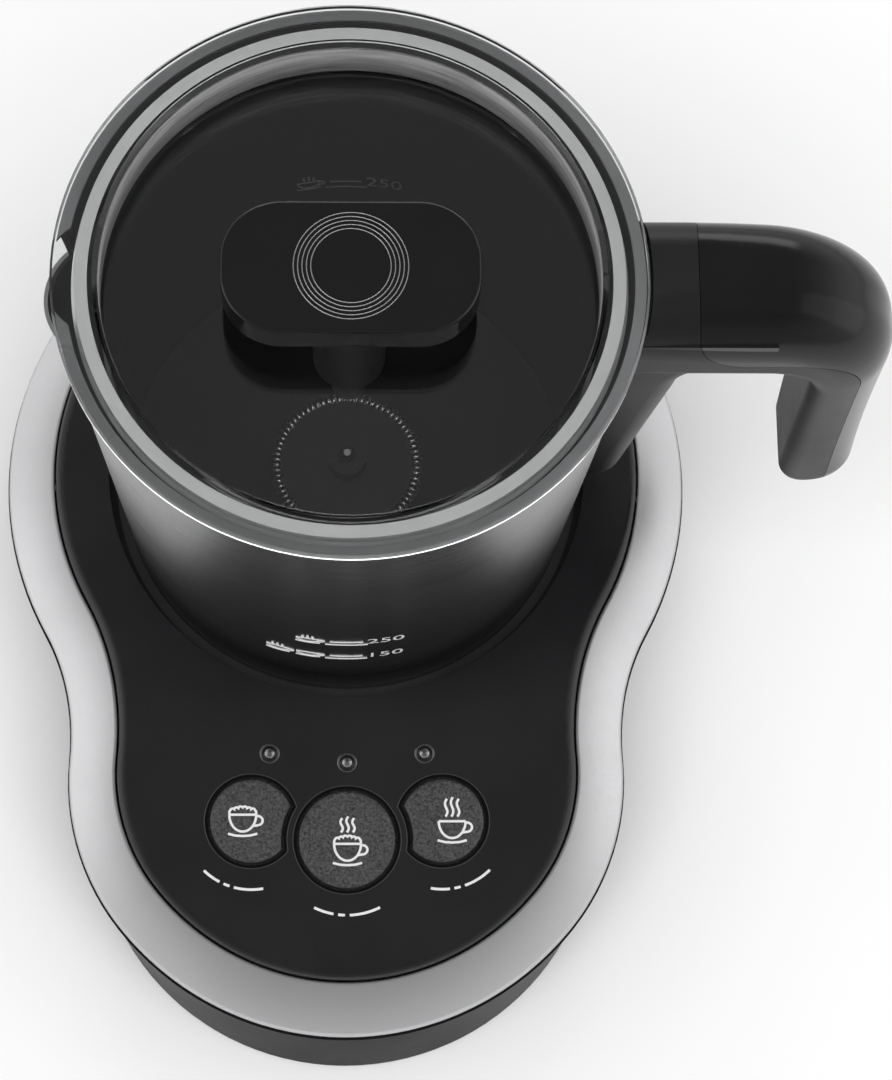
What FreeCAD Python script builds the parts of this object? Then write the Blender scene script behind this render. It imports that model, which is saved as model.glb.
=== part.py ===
import FreeCAD, Part
import math
import os
import Sketcher
from FreeCAD import Placement, Rotation, Vector

# Milk frother: a powered base, a lift-off jug with a spinning whisk, and a clear lift-off lid.
# Frame: +Z up, origin on the table under the jug axis, controls toward -Y, handle toward +X.

DOC = FreeCAD.newDocument("MilkFrother")
NODES = []

SIZES = {
    # base outline: four tangent arcs on each side, seen from above
    "waist_centre_x": 110.5,
    "waist_centre_y": 60.0,
    "cheek_centre_x": 11.4,
    "cheek_centre_y": 69.0,
    "cheek_radius": 50.0,
    "nose_centre_y": 59.7,
    "foot_centre_y": 69.5,
    "foot_radius": 57.4,
    # base heights
    "deck_height": 46.0,
    "panel_slope": 12.0,
    "slope_start_y": 42.0,
    "slope_blend_radius": 86.6,
    "cover_thickness": 2.6,
    "cover_inset": 10.8,
    "band_width": 10.5,
    "band_inner_drop": 1.9,
    "band_outer_drop": 8.1,
    "band_thickness": 1.3,
    "housing_lip": 0.35,
    "housing_wall": 2.4,
    "housing_bottom": 1.6,
    "plate_bottom": 2.0,
    "plate_thickness": 2.0,
    "foot_pad_radius": 7.0,
    # jug well
    "well_radius": 53.35,
    "seat_outer_radius": 55.6,
    "seat_floor_top": 39.5,
    "seat_floor_thickness": 2.0,
    # control panel, measured in the panel's own plane
    "panel_centre_y": 84.0,
    "hot_button_radius": 10.6,
    "side_button_radius": 9.1,
    "side_button_x": 20.9,
    "side_button_y": 4.1,
    "side_button_bite": 14.4,
    "button_gap": 0.6,
    "button_rise": 0.9,
    "lens_radius": 1.3,
    "lens_x": 17.0,
    "lens_y": 18.9,
    "lens_mid_y": 16.9,
    # jug
    "jug_foot_radius": 50.0,
    "jug_top_radius": 57.4,
    "jug_foot_height": 42.9,
    "rim_height": 154.5,
    "rim_radius": 58.0,
    "rim_thickness": 0.8,
    "shell_wall": 0.8,
    "liner_wall": 0.8,
    "liner_floor_top": 45.2,
    "liner_floor_thickness": 1.2,
    "spout_x": 47.0,
    "spout_radius": 13.7,
    "spout_low_radius": 7.0,
    "spout_low_height": 108.0,
    "spout_height": 143.0,
    "jug_underside": 39.8,
    # lid
    "lid_radius": 58.6,
    "lid_top": 156.8,
    "lid_flange_thickness": 2.0,
    "lid_recess_radius": 49.4,
    "lid_recess_floor": 145.3,
    "lid_wall": 2.0,
    "gasket_radius": 54.0,
    "knob_length": 50.9,
    "knob_depth": 27.8,
    "knob_thickness": 7.5,
    "knob_corner": 12.0,
    "knob_top": 160.7,
    "post_radius": 7.5,
    "post_bottom": 111.5,
    # whisk and drive
    "whisk_ring_radius": 15.7,
    "whisk_coil_radius": 1.45,
    "whisk_centre_height": 47.5,
    "whisk_pin_radius": 2.0,
    "rotor_radius": 15.5,
    "motor_radius": 11.5,
    "motor_shaft_radius": 1.0,
    # handle
    "handle_reach": 109.8,
    "handle_top": 156.5,
    "handle_half_width": 13.9,
}


# places that a list or a single number gives
OUTLINE_COUNTS = (48, 10, 10, 24, 10, 10)  # points on the arcs of each outline
OUTLINE_BREAKS = (0, 12, 36, 48, 68, 80, 92)  # points where a closed outline is split into edges
BOSS_SPOTS = [(-42.8, 42.8), (42.8, 42.8), (-42.0, -66.0), (42.0, -66.0)]  # screw bosses, x and y
BOARD_TOP = -11.2  # circuit board's top, below the sloped panel
BOARD_POST_SPOTS = [(-32.0, 16.0), (32.0, 16.0), (-32.0, -12.0), (32.0, -12.0)]  # in the panel
SENSOR_Y = 19.5  # temperature sensor, behind the jug axis
STUD_HEIGHTS = (76.0, 142.0)  # studs that hold the handle to the jug


class Dim:
    """A size that carries its spreadsheet expression along with its value."""

    def __init__(self, expr, value):
        self.expr = expr
        self.value = value

    def _combine(self, other, sign, result):
        text = other.expr if isinstance(other, Dim) else repr(float(other))
        return Dim("(" + self.expr + " " + sign + " " + text + ")", result)

    def __add__(self, other):
        return self._combine(other, "+", self.value + number(other))

    def __sub__(self, other):
        return self._combine(other, "-", self.value - number(other))

    def __mul__(self, other):
        return self._combine(other, "*", self.value * number(other))

    def __truediv__(self, other):
        return self._combine(other, "/", self.value / number(other))


def number(size):
    """The plain value of a Dim or of a number."""
    return size.value if isinstance(size, Dim) else float(size)


def make_sheet():
    """Write every size to the spreadsheet under its own name."""
    sheet = DOC.addObject("Spreadsheet::Sheet", "Sizes")
    for row, (alias, value) in enumerate(SIZES.items(), start=1):
        sheet.set("A%d" % row, alias)
        sheet.set("B%d" % row, str(value))
        sheet.setAlias("B%d" % row, alias)
    DOC.recompute()


def size(alias):
    """A size from the spreadsheet."""
    return Dim("Sizes." + alias, SIZES[alias])


def bind(obj, prop, value):
    """Drive a property by a spreadsheet expression, or set it when it is a plain number."""
    if isinstance(value, Dim):
        obj.setExpression(prop, value.expr)
    else:
        setattr(obj, prop, value)


# ---------------------------------------------------------------- placements and outlines

SLOPE = math.radians(SIZES["panel_slope"])
BLEND_END_Y = -SIZES["slope_start_y"] - SIZES["slope_blend_radius"] * math.sin(SLOPE)
BLEND_DROP = SIZES["slope_blend_radius"] * (1.0 - math.cos(SLOPE))


def deck_z(y):
    """Height of the base's top surface at a given y: flat, a blend arc, then the sloped panel."""
    start = -SIZES["slope_start_y"]
    if y >= start:
        return SIZES["deck_height"]
    if y >= BLEND_END_Y:
        radius = SIZES["slope_blend_radius"]
        return SIZES["deck_height"] - radius + math.sqrt(radius ** 2 - (y - start) ** 2)
    return SIZES["deck_height"] - BLEND_DROP - (BLEND_END_Y - y) * math.tan(SLOPE)


PANEL = Placement(
    Vector(0, -SIZES["panel_centre_y"], deck_z(-SIZES["panel_centre_y"])),
    Rotation(Vector(1, 0, 0), SIZES["panel_slope"]),
)


def at(x, y, z, rotation=Rotation()):
    """Placement at a point, with an optional rotation."""
    return Placement(Vector(x, y, z), rotation)


def in_panel(x, y, z):
    """Placement at a point of the sloped panel's own frame."""
    return PANEL.multiply(at(x, y, z))


def crown_arcs(inset):
    """Arcs (centre, radius, first angle, last angle) of the base's widest outline, from the right
    waist forward to the left waist and round the back, moved inward by inset."""
    waist = Vector(SIZES["waist_centre_x"], -SIZES["waist_centre_y"], 0)
    cheek = Vector(SIZES["cheek_centre_x"], -SIZES["cheek_centre_y"], 0)
    nose = Vector(0, -SIZES["nose_centre_y"], 0)
    cheek_r = SIZES["cheek_radius"]
    waist_r = (waist - cheek).Length - cheek_r
    back_r = waist.Length - waist_r
    nose_r = (nose - cheek).Length + cheek_r
    to_cheek = (waist - cheek).normalize()
    to_nose = (cheek - nose).normalize()
    to_waist = Vector(waist).normalize()
    side = math.atan2(to_cheek.y, to_cheek.x)
    front = math.atan2(to_nose.y, to_nose.x)
    back = math.atan2(to_waist.y, to_waist.x)
    return [
        (Vector(), back_r - inset, back, math.pi - back),
        (Vector(-waist.x, waist.y, 0), -(waist_r + inset), math.pi - back, math.pi - side),
        (Vector(-cheek.x, cheek.y, 0), cheek_r - inset, math.pi - side, math.pi - front),
        (nose, nose_r - inset, math.pi - front, 2 * math.pi + front),
        (cheek, cheek_r - inset, 2 * math.pi + front, 2 * math.pi + side),
        (waist, -(waist_r + inset), 2 * math.pi + side, 2 * math.pi + back),
    ]


def foot_arcs(inset):
    """Arcs of the outline that the base has at the table, moved inward by inset."""
    waist = Vector(SIZES["waist_centre_x"], -SIZES["waist_centre_y"], 0)
    lobe = Vector(0, -SIZES["foot_centre_y"], 0)
    lobe_r = SIZES["foot_radius"]
    waist_r = (waist - lobe).Length - lobe_r
    back_r = waist.Length - waist_r
    to_lobe = (waist - lobe).normalize()
    to_waist = Vector(waist).normalize()
    side = math.atan2(to_lobe.y, to_lobe.x)
    back = math.atan2(to_waist.y, to_waist.x)
    third = (math.pi + 2 * side) / 6.0
    return [
        (Vector(), back_r - inset, back, math.pi - back),
        (Vector(-waist.x, waist.y, 0), -(waist_r + inset), math.pi - back, math.pi - side),
        (lobe, lobe_r - inset, math.pi - side, math.pi - side + third),
        (lobe, lobe_r - inset, math.pi - side + third, 2 * math.pi + side - third),
        (lobe, lobe_r - inset, 2 * math.pi + side - third, 2 * math.pi + side),
        (waist, -(waist_r + inset), 2 * math.pi + side, 2 * math.pi + back),
    ]


def arc_point(arc, share):
    """Point of an outline arc. A negative radius marks a hollow arc, whose outward normal points
    at its centre."""
    centre, radius, first, last = arc
    angle = first + (last - first) * share
    return centre + Vector(math.cos(angle), math.sin(angle), 0) * radius


def outline_points(arcs):
    """Points round an outline, the same number on each arc of every outline."""
    points = []
    for arc, count in zip(arcs, OUTLINE_COUNTS):
        points += [arc_point(arc, step / count) for step in range(count)]
    return points


def closed_curve(points):
    """Smooth closed wire through the points, of several edges so that no face on it is too long."""
    curve = Part.BSplineCurve()
    curve.interpolate(Points=points, PeriodicFlag=True)
    breaks = [curve.parameter(points[index]) for index in OUTLINE_BREAKS[1:]]
    breaks = [curve.FirstParameter] + breaks + [curve.LastParameter]
    return Part.Wire([curve.toShape(low, high) for low, high in zip(breaks, breaks[1:])])


def draped(arcs, drop):
    """Closed wire over an outline that follows the top surface, lowered by drop."""
    return closed_curve([Vector(p.x, p.y, deck_z(p.y) - drop) for p in outline_points(arcs)])


def level(arcs, height):
    """Closed wire over an outline at one height."""
    return closed_curve([Vector(p.x, p.y, height) for p in outline_points(arcs)])


def ring_between(wires):
    """Solid ring whose cross-section has one corner on each wire."""
    faces = []
    for first, second in zip(wires, wires[1:] + wires[:1]):
        faces += Part.makeRuledSurface(first, second).Faces
    shell = Part.makeShell(faces)
    shell.sewShape()
    solid = Part.makeSolid(shell)
    solid.fixTolerance(1e-4)
    if solid.Volume < 0:
        solid.reverse()
    return solid


# ---------------------------------------------------------------- small builders


def node(obj, label):
    """Register an object as a named sub-part of the assembly."""
    obj.Label = label
    NODES.append(obj)
    return obj


def coded(label, shape):
    """Sub-part whose shape is made in code."""
    obj = DOC.addObject("Part::Feature", label)
    obj.Shape = shape
    return node(obj, label)


def cylinder(name, radius, height, placement):
    """Cylinder primitive with driven sizes."""
    obj = DOC.addObject("Part::Cylinder", name)
    bind(obj, "Radius", radius)
    bind(obj, "Height", height)
    obj.Placement = placement
    return obj


def cone(name, low_radius, high_radius, height, placement):
    """Cone primitive with driven sizes."""
    obj = DOC.addObject("Part::Cone", name)
    bind(obj, "Radius1", low_radius)
    bind(obj, "Radius2", high_radius)
    bind(obj, "Height", height)
    obj.Placement = placement
    return obj


def box(name, length, width, height, placement):
    """Box primitive centred on its placement in X and Y."""
    obj = DOC.addObject("Part::Box", name)
    obj.Length = length
    obj.Width = width
    obj.Height = height
    obj.Placement = placement.multiply(at(-length / 2, -width / 2, 0))
    return obj


def fuse(name, parts):
    """Boolean union."""
    obj = DOC.addObject("Part::MultiFuse", name)
    obj.Shapes = parts
    obj.Refine = True
    return obj


def cut(name, base, tool):
    """Boolean difference."""
    obj = DOC.addObject("Part::Cut", name)
    obj.Base = base
    obj.Tool = tool
    return obj


def common(name, parts):
    """Boolean intersection."""
    obj = DOC.addObject("Part::MultiCommon", name)
    obj.Shapes = parts
    return obj


def group(name, parts):
    """Several separate solids that share one sub-part."""
    obj = DOC.addObject("Part::Compound", name)
    obj.Links = parts
    return obj


def plane_of(body, role):
    """One of the origin planes of a body."""
    for feature in body.Origin.OriginFeatures:
        if feature.Role == role:
            return feature
    raise ValueError(role)


def sketch_on(body, name, role, offset=Placement()):
    """Empty sketch on an origin plane of a body, moved by offset."""
    sketch = body.newObject("Sketcher::SketchObject", name)
    sketch.AttachmentSupport = (plane_of(body, role), [""])
    sketch.MapMode = "FlatFace"
    sketch.AttachmentOffset = offset
    return sketch


def new_body(name):
    """Empty body."""
    return DOC.addObject("PartDesign::Body", name)


def add_circle(sketch, x, y, radius):
    """Circle at a fixed centre with a driven radius."""
    index = sketch.addGeometry(Part.Circle(Vector(x, y, 0), Vector(0, 0, 1), number(radius)), False)
    if x == 0 and y == 0:
        sketch.addConstraint(Sketcher.Constraint("Coincident", index, 3, -1, 1))
    else:
        sketch.addConstraint(Sketcher.Constraint("DistanceX", -1, 1, index, 3, x))
        sketch.addConstraint(Sketcher.Constraint("DistanceY", -1, 1, index, 3, y))
    row = sketch.addConstraint(Sketcher.Constraint("Radius", index, number(radius)))
    if isinstance(radius, Dim):
        sketch.setExpression("Constraints[%d]" % row, radius.expr)


def add_polygon(sketch, corners):
    """Closed polygon whose corner coordinates are each driven."""
    values = [Vector(number(x), number(y), 0) for x, y in corners]
    first = sketch.GeometryCount
    for start, end in zip(values, values[1:] + values[:1]):
        sketch.addGeometry(Part.LineSegment(start, end), False)
    count = len(values)
    for step in range(count):
        following = first + (step + 1) % count
        sketch.addConstraint(Sketcher.Constraint("Coincident", first + step, 2, following, 1))
    for step, corner in enumerate(corners):
        for kind, part in zip(("DistanceX", "DistanceY"), corner):
            if number(part) == 0:
                axis = -2 if kind == "DistanceX" else -1
                sketch.addConstraint(
                    Sketcher.Constraint("PointOnObject", first + step, 1, axis))
                continue
            row = sketch.addConstraint(
                Sketcher.Constraint(kind, -1, 1, first + step, 1, number(part)))
            if isinstance(part, Dim):
                sketch.setExpression("Constraints[%d]" % row, part.expr)


def add_outline(sketch, arcs):
    """Base outline as locked arcs, joined end to end."""
    first = sketch.GeometryCount
    for centre, radius, start, end in arcs:
        if radius < 0:
            start, end = end + math.pi, start + math.pi
        circle = Part.Circle(centre, Vector(0, 0, 1), abs(radius))
        sketch.addGeometry(Part.ArcOfCircle(circle, start, end), False)
    for step in range(len(arcs)):
        sketch.addConstraint(Sketcher.Constraint("Block", first + step))


def pad(body, sketch, length, midplane=False, downward=False):
    """Pad of a sketch."""
    feature = body.newObject("PartDesign::Pad", sketch.Name + "Pad")
    feature.Profile = sketch
    bind(feature, "Length", length)
    feature.Midplane = midplane
    feature.Reversed = downward
    body.Tip = feature
    return feature


def pocket(body, sketch, length=None, downward=True):
    """Pocket of a sketch, right through when no length is given."""
    feature = body.newObject("PartDesign::Pocket", sketch.Name + "Pocket")
    feature.Profile = sketch
    if length is None:
        feature.Type = "ThroughAll"
        feature.Midplane = True
    else:
        bind(feature, "Length", length)
        feature.Reversed = not downward
    body.Tip = feature
    return feature


def revolved(label, corners):
    """Body turned round the Z axis from a driven polygon in the XZ plane."""
    body = new_body(label)
    sketch = sketch_on(body, label + "Profile", "XZ_Plane")
    add_polygon(sketch, corners)
    feature = body.newObject("PartDesign::Revolution", label + "Turn")
    feature.Profile = sketch
    feature.ReferenceAxis = (sketch, ["V_Axis"])
    feature.Angle = 360
    body.Tip = feature
    return body


def fillet(body, edges, radius):
    """Fillet on named edges of the body's last feature."""
    previous = body.Tip
    feature = body.newObject("PartDesign::Fillet", body.Label + "Fillet")
    feature.Base = (previous, edges)
    feature.Radius = radius
    body.Tip = feature
    DOC.recompute()
    return feature


def edges_where(shape, test):
    """Names of the edges of a shape whose middle point passes a test."""
    names = []
    for index, edge in enumerate(shape.Edges, start=1):
        middle = edge.valueAt((edge.FirstParameter + edge.LastParameter) / 2)
        if test(middle, edge):
            names.append("Edge%d" % index)
    return names


# ---------------------------------------------------------------- base


def make_housing():
    """Lower shell of the base, leaning inward at the sides and out at the front, with the hole
    for the cord at the back."""
    drop = SIZES["band_outer_drop"] + SIZES["band_thickness"] + 0.3
    wall = SIZES["housing_wall"]
    bottom = SIZES["housing_bottom"]
    ring = ring_between([
        draped(crown_arcs(-SIZES["housing_lip"]), drop),
        level(foot_arcs(0), bottom),
        level(foot_arcs(wall), bottom),
        draped(crown_arcs(wall), drop),
    ])
    hole = Part.makeCylinder(5.3, 20, Vector(0, 62, 13), Vector(0, 1, 0))
    coded("base_housing", ring.cut(hole))


def make_bottom_plate():
    """Flat plate that closes the base from below, with its screw holes."""
    body = new_body("base_bottom_plate")
    height = Placement(Vector(0, 0, SIZES["plate_bottom"]), Rotation())
    outline = sketch_on(body, "PlateOutline", "XY_Plane", height)
    add_outline(outline, foot_arcs(SIZES["housing_wall"] + 0.5))
    pad(body, outline, size("plate_thickness"))
    holes = sketch_on(body, "PlateHoles", "XY_Plane", height)
    for x, y in BOSS_SPOTS:
        add_circle(holes, x, y, 1.7)
    pocket(body, holes)
    vents = sketch_on(body, "PlateVents", "XY_Plane", height)
    for step in range(-3, 4):
        for row in (-1, 1):
            add_circle(vents, step * 7.0, row * 24.0, 1.6)
    pocket(body, vents)
    node(body, "base_bottom_plate")


def side_disc(name, sign, grow, length, depth):
    """Round side button shape with the bite that follows the middle button. A positive grow widens
    it all round."""
    x = sign * SIZES["side_button_x"]
    disc = cylinder(name + "Disc", size("side_button_radius") + grow, length,
                    in_panel(x, SIZES["side_button_y"], depth))
    bite = cylinder(name + "Bite", size("side_button_bite") - grow, length + 2,
                    in_panel(0, 0, depth - 1))
    return cut(name, disc, bite)


def middle_disc(name, grow, length, depth):
    """Round middle button shape, widened by grow."""
    return cylinder(name, size("hot_button_radius") + grow, length, in_panel(0, 0, depth))


def make_top_cover():
    """Black top cover: flat round the jug, sloped under the buttons, with bosses below."""
    body = new_body("CoverPlate")
    section = sketch_on(body, "CoverSection", "YZ_Plane")
    steps = [BLEND_END_Y + (-SIZES["slope_start_y"] - BLEND_END_Y) * k / 2 for k in range(3)]
    thick = SIZES["cover_thickness"]

    def strip_edge(drop, backward):
        middle = Vector(steps[1], deck_z(steps[1]) - drop, 0)
        low = Vector(steps[0], deck_z(steps[0]) - drop, 0)
        high = Vector(steps[2], deck_z(steps[2]) - drop, 0)
        front = Vector(-125, deck_z(-125) - drop, 0)
        back = Vector(80, deck_z(80) - drop, 0)
        chain = [Part.LineSegment(back, high), Part.Arc(high, middle, low),
                 Part.LineSegment(low, front)]
        if backward:
            chain = [Part.LineSegment(front, low), Part.Arc(low, middle, high),
                     Part.LineSegment(high, back)]
        return chain, (back, front)

    top, (top_back, top_front) = strip_edge(0, False)
    low, (low_back, low_front) = strip_edge(thick, True)
    pieces = top + [Part.LineSegment(top_front, low_front)]
    pieces += low + [Part.LineSegment(low_back, top_back)]
    for index, piece in enumerate(pieces):
        section.addGeometry(piece, False)
        section.addConstraint(Sketcher.Constraint("Block", index))
    pad(body, section, 180, midplane=True)
    rim = sketch_on(body, "CoverOutline", "XY_Plane")
    frame = [Vector(-120, -160, 0), Vector(120, -160, 0), Vector(120, 110, 0), Vector(-120, 110, 0)]
    for start, end in zip(frame, frame[1:] + frame[:1]):
        rim.addGeometry(Part.LineSegment(start, end), False)
    for step in range(4):
        rim.addConstraint(Sketcher.Constraint("Block", step))
    add_outline(rim, crown_arcs(SIZES["cover_inset"]))
    pocket(body, rim)
    well = sketch_on(body, "CoverWell", "XY_Plane")
    add_circle(well, 0, 0, size("well_radius"))
    pocket(body, well)
    DOC.recompute()

    def outer_top(point, edge):
        reach = math.hypot(point.x, point.y)
        on_top = abs(point.z - deck_z(point.y)) < 0.02
        inside = edge.BoundBox.DiagonalLength > 0 and reach < SIZES["well_radius"] + 1
        return on_top and not inside and abs(point.x) + abs(point.y) > 40 and is_outline(point)

    fillet(body, edges_where(body.Shape, outer_top), 2.2)
    gap = SIZES["button_gap"]
    depth = -thick - 3
    openings = [
        middle_disc("HotOpening", gap, 12, depth),
        side_disc("ColdOpening", -1, gap, 12, depth),
        side_disc("WarmOpening", 1, gap, 12, depth),
    ]
    lens_y = {-1: SIZES["lens_y"], 0: SIZES["lens_mid_y"], 1: SIZES["lens_y"]}
    for side, name in ((-1, "L"), (0, "M"), (1, "R")):
        place = in_panel(side * SIZES["lens_x"], lens_y[side], depth)
        openings.append(cylinder("LensHole" + name, size("lens_radius") + 0.15, 12, place))
    bosses = []
    plate_top = SIZES["plate_bottom"] + SIZES["plate_thickness"]
    for index, (x, y) in enumerate(BOSS_SPOTS):
        height = deck_z(y - 4) - 1.0 - plate_top
        outer = cylinder("CoverBoss%d" % index, 4.0, height, at(x, y, plate_top))
        bore = cylinder("CoverBossBore%d" % index, 1.6, 14, at(x, y, plate_top - 1))
        bosses.append(cut("CoverBossTube%d" % index, outer, bore))
    posts = [
        cylinder("BoardPost%d" % index, 2.2, -BOARD_TOP - 1.0, in_panel(x, y, BOARD_TOP))
        for index, (x, y) in enumerate(BOARD_POST_SPOTS)
    ]
    whole = fuse("CoverWithPosts", [body] + bosses + posts)
    node(cut("base_top_cover", whole, fuse("CoverOpenings", openings)), "base_top_cover")


def is_outline(point):
    """Whether a point lies on the cover's outer outline."""
    nearest = min(
        (Vector(point.x, point.y, 0) - spot).Length
        for spot in outline_points(crown_arcs(SIZES["cover_inset"]))
    )
    return nearest < 4.0


def make_trim_band():
    """Satin band round the base, sloping outward and down and slightly rounded."""
    inner = SIZES["band_inner_drop"]
    outer = SIZES["band_outer_drop"]
    width = SIZES["band_width"]
    thick = SIZES["band_thickness"]
    rise = 0.55
    middle = (inner + outer) / 2 - rise
    coded("trim_band", ring_between([
        draped(crown_arcs(width), inner),
        draped(crown_arcs(width * 0.72), inner + (outer - inner) * 0.28 - rise * 0.85),
        draped(crown_arcs(width * 0.4), middle + (outer - inner) * 0.1),
        draped(crown_arcs(width * 0.12), inner + (outer - inner) * 0.88 - rise * 0.5),
        draped(crown_arcs(0), outer),
        draped(crown_arcs(0.25), outer + thick),
        draped(crown_arcs(width), inner + thick + 0.4),
    ]))


def make_jug_seat():
    """Cup under the cover's opening that the jug stands in, with a small hole for the sensor."""
    wall = size("well_radius")
    outer = size("seat_outer_radius")
    top = size("deck_height") - size("cover_thickness")
    floor = size("seat_floor_top")
    under = floor - size("seat_floor_thickness")
    turned = revolved("SeatCup", [
        (0, under), (outer, under), (outer, top - 0.1), (wall, top - 0.1), (wall, floor + 1.5),
        (wall - 1.5, floor), (0, floor),
    ])
    hole = cylinder("SeatSensorHole", 2.8, 10, at(0, SENSOR_Y, SIZES["seat_floor_top"] - 5))
    relief = DOC.addObject("Part::Feature", "SeatFrontRelief")
    drop = SIZES["cover_thickness"] + 0.12
    corners = [Vector(-60, y, deck_z(y) - drop) for y in (-40.0, -44.0, -48.0, -52.0, -56.0, -60.0)]
    corners += [Vector(-60, -60.0, 50.0), Vector(-60, -40.0, 50.0)]
    face = Part.Face(Part.makePolygon(corners + corners[:1]))
    relief.Shape = face.extrude(Vector(120, 0, 0))
    node(cut("jug_seat", turned, fuse("SeatTools", [hole, relief])), "jug_seat")


def make_heating():
    """Sensor, heating coil and the former that carries it under the seat's floor."""
    under = SIZES["seat_floor_top"] - SIZES["seat_floor_thickness"]
    tip = cylinder("SensorTip", 2.4, 5.0, at(0, SENSOR_Y, SIZES["seat_floor_top"] - 5.0))
    collar = cylinder("SensorCollar", 3.4, 1.4, at(0, SENSOR_Y, under - 1.5))
    node(fuse("temperature_sensor", [tip, collar]), "temperature_sensor")
    windings = [
        Part.makeTorus(25.0 + 2.1 * turn, 0.95, Vector(0, 0, under - 2.2)) for turn in range(9)
    ]
    coded("heating_coil", Part.makeCompound(windings))
    low = under - 5.4
    node(revolved("coil_former", [
        (22.6, low), (47.0, low), (47.0, under), (44.4, under), (44.4, low + 2.0), (22.6, low + 2.0),
    ]), "coil_former")


def make_drive():
    """Motor, its bracket, and the magnet rotor that turns the whisk through the jug's floor."""
    plate_top = SIZES["plate_bottom"] + SIZES["plate_thickness"]
    can = cylinder("MotorCan", size("motor_radius"), 17.5, at(0, 0, 6.5))
    nose = cylinder("MotorNose", 3.0, 1.4, at(0, 0, 24.0))
    cap = cylinder("MotorRearCap", 4.0, 1.5, at(0, 0, 5.0))
    bore = cylinder("MotorBore", 1.05, 20.0, at(0, 0, 12.0))
    node(cut("drive_motor", fuse("MotorParts", [can, nose, cap]), bore), "drive_motor")
    plate = cylinder("BracketPlate", 19.0, 1.6, at(0, 0, 24.1))
    legs = []
    for turn in range(3):
        angle = math.radians(90 + 120 * turn)
        spot = at(16.0 * math.cos(angle), 16.0 * math.sin(angle), plate_top)
        legs.append(cylinder("BracketLeg%d" % turn, 2.4, 20.4, spot))
    hole = cylinder("BracketHole", 3.3, 4.0, at(0, 0, 23.0))
    node(cut("motor_bracket", fuse("BracketParts", [plate] + legs), hole), "motor_bracket")
    node(cylinder("motor_shaft", size("motor_shaft_radius"), 21.0, at(0, 0, 12.5)), "motor_shaft")
    disc = cylinder("RotorDisc", size("rotor_radius"), 5.0, at(0, 0, 31.5))
    hub = cylinder("RotorHub", 4.0, 4.0, at(0, 0, 27.5))
    cavities = [cylinder("RotorShaftHole", 1.02, 7.0, at(0, 0, 26.9))]
    magnets = []
    for turn in range(4):
        angle = math.radians(45 + 90 * turn)
        x = 9.8 * math.cos(angle)
        y = 9.8 * math.sin(angle)
        cavities.append(cylinder("RotorPocket%d" % turn, 4.05, 6.0, at(x, y, 32.5)))
        magnets.append(cylinder("RotorMagnet%d" % turn, 4.0, 3.9, at(x, y, 32.5)))
    node(cut("drive_rotor", fuse("RotorParts", [disc, hub]), fuse("RotorCavities", cavities)),
         "drive_rotor")
    node(group("drive_magnets", magnets), "drive_magnets")


def make_controls():
    """Board, switches, LEDs, lenses and the three buttons, all square to the sloped panel."""
    spots = {
        "cold": (-SIZES["side_button_x"], SIZES["side_button_y"]),
        "hot": (0, 0),
        "warm": (SIZES["side_button_x"], SIZES["side_button_y"]),
    }
    node(box("control_board", 72.0, 42.0, 1.6, in_panel(0, 1.5, BOARD_TOP - 1.6)), "control_board")
    switches = []
    for name, (x, y) in spots.items():
        case = box("SwitchCase" + name, 6.0, 6.0, 3.6, in_panel(x, y, BOARD_TOP))
        plunger = cylinder("SwitchPlunger" + name, 1.7, 4.6, in_panel(x, y, BOARD_TOP))
        switches.append(fuse("Switch" + name, [case, plunger]))
    node(group("push_switches", switches), "push_switches")
    lamp_spots = [
        (-SIZES["lens_x"], SIZES["lens_y"]), (0, SIZES["lens_mid_y"]),
        (SIZES["lens_x"], SIZES["lens_y"]),
    ]
    lamps = []
    lenses = []
    for index, (x, y) in enumerate(lamp_spots):
        stem = cylinder("LampStem%d" % index, 1.5, 5.0, in_panel(x, y, BOARD_TOP))
        foot = cylinder("LampFoot%d" % index, 1.9, 1.0, in_panel(x, y, BOARD_TOP))
        lamps.append(fuse("Lamp%d" % index, [stem, foot]))
        pipe = cylinder("LensPipe%d" % index, size("lens_radius"), 4.6, in_panel(x, y, -4.6))
        flange = cylinder("LensFlange%d" % index, 2.2, 1.2, in_panel(x, y, -3.9))
        dome = DOC.addObject("Part::Sphere", "LensDome%d" % index)
        dome.Radius = 1.47
        dome.Placement = in_panel(x, y, -0.69)
        trim = cylinder("LensTrim%d" % index, size("lens_radius"), 3.0, in_panel(x, y, -1.0))
        head = common("LensHead%d" % index, [dome, trim])
        lenses.append(fuse("Lens%d" % index, [pipe, flange, head]))
    node(group("indicator_leds", lamps), "indicator_leds")
    node(group("indicator_lenses", lenses), "indicator_lenses")
    rise = SIZES["button_rise"]
    flange_z = -SIZES["cover_thickness"] - 1.7
    for name, (x, y) in spots.items():
        label = "button_" + name
        if name == "hot":
            cap = middle_disc(name + "Cap", 0, rise - flange_z, flange_z)
            flange = middle_disc(name + "Flange", 1.5, 1.2, flange_z)
        else:
            sign = -1 if name == "cold" else 1
            cap = side_disc(name + "Cap", sign, 0, rise - flange_z, flange_z)
            flange = side_disc(name + "Flange", sign, 1.1, 1.2, flange_z)
        stem_x = x * 1.0
        stem = cylinder(name + "Stem", 2.5, 1.2, in_panel(stem_x, y, BOARD_TOP + 4.6 + 1.3))
        rounded = DOC.addObject("Part::Fillet", name + "Rounded")
        DOC.recompute()
        rounded.Base = cap
        top = [
            (int(edge[4:]), 0.7, 0.7)
            for edge in edges_where(cap.Shape, lambda point, edge: panel_height(point) > rise - 0.01)
        ]
        rounded.Edges = top
        node(fuse(label, [rounded, flange, stem]), label)


def panel_height(point):
    """Height of a point over the sloped panel."""
    return PANEL.inverse().multVec(point).z


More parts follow.
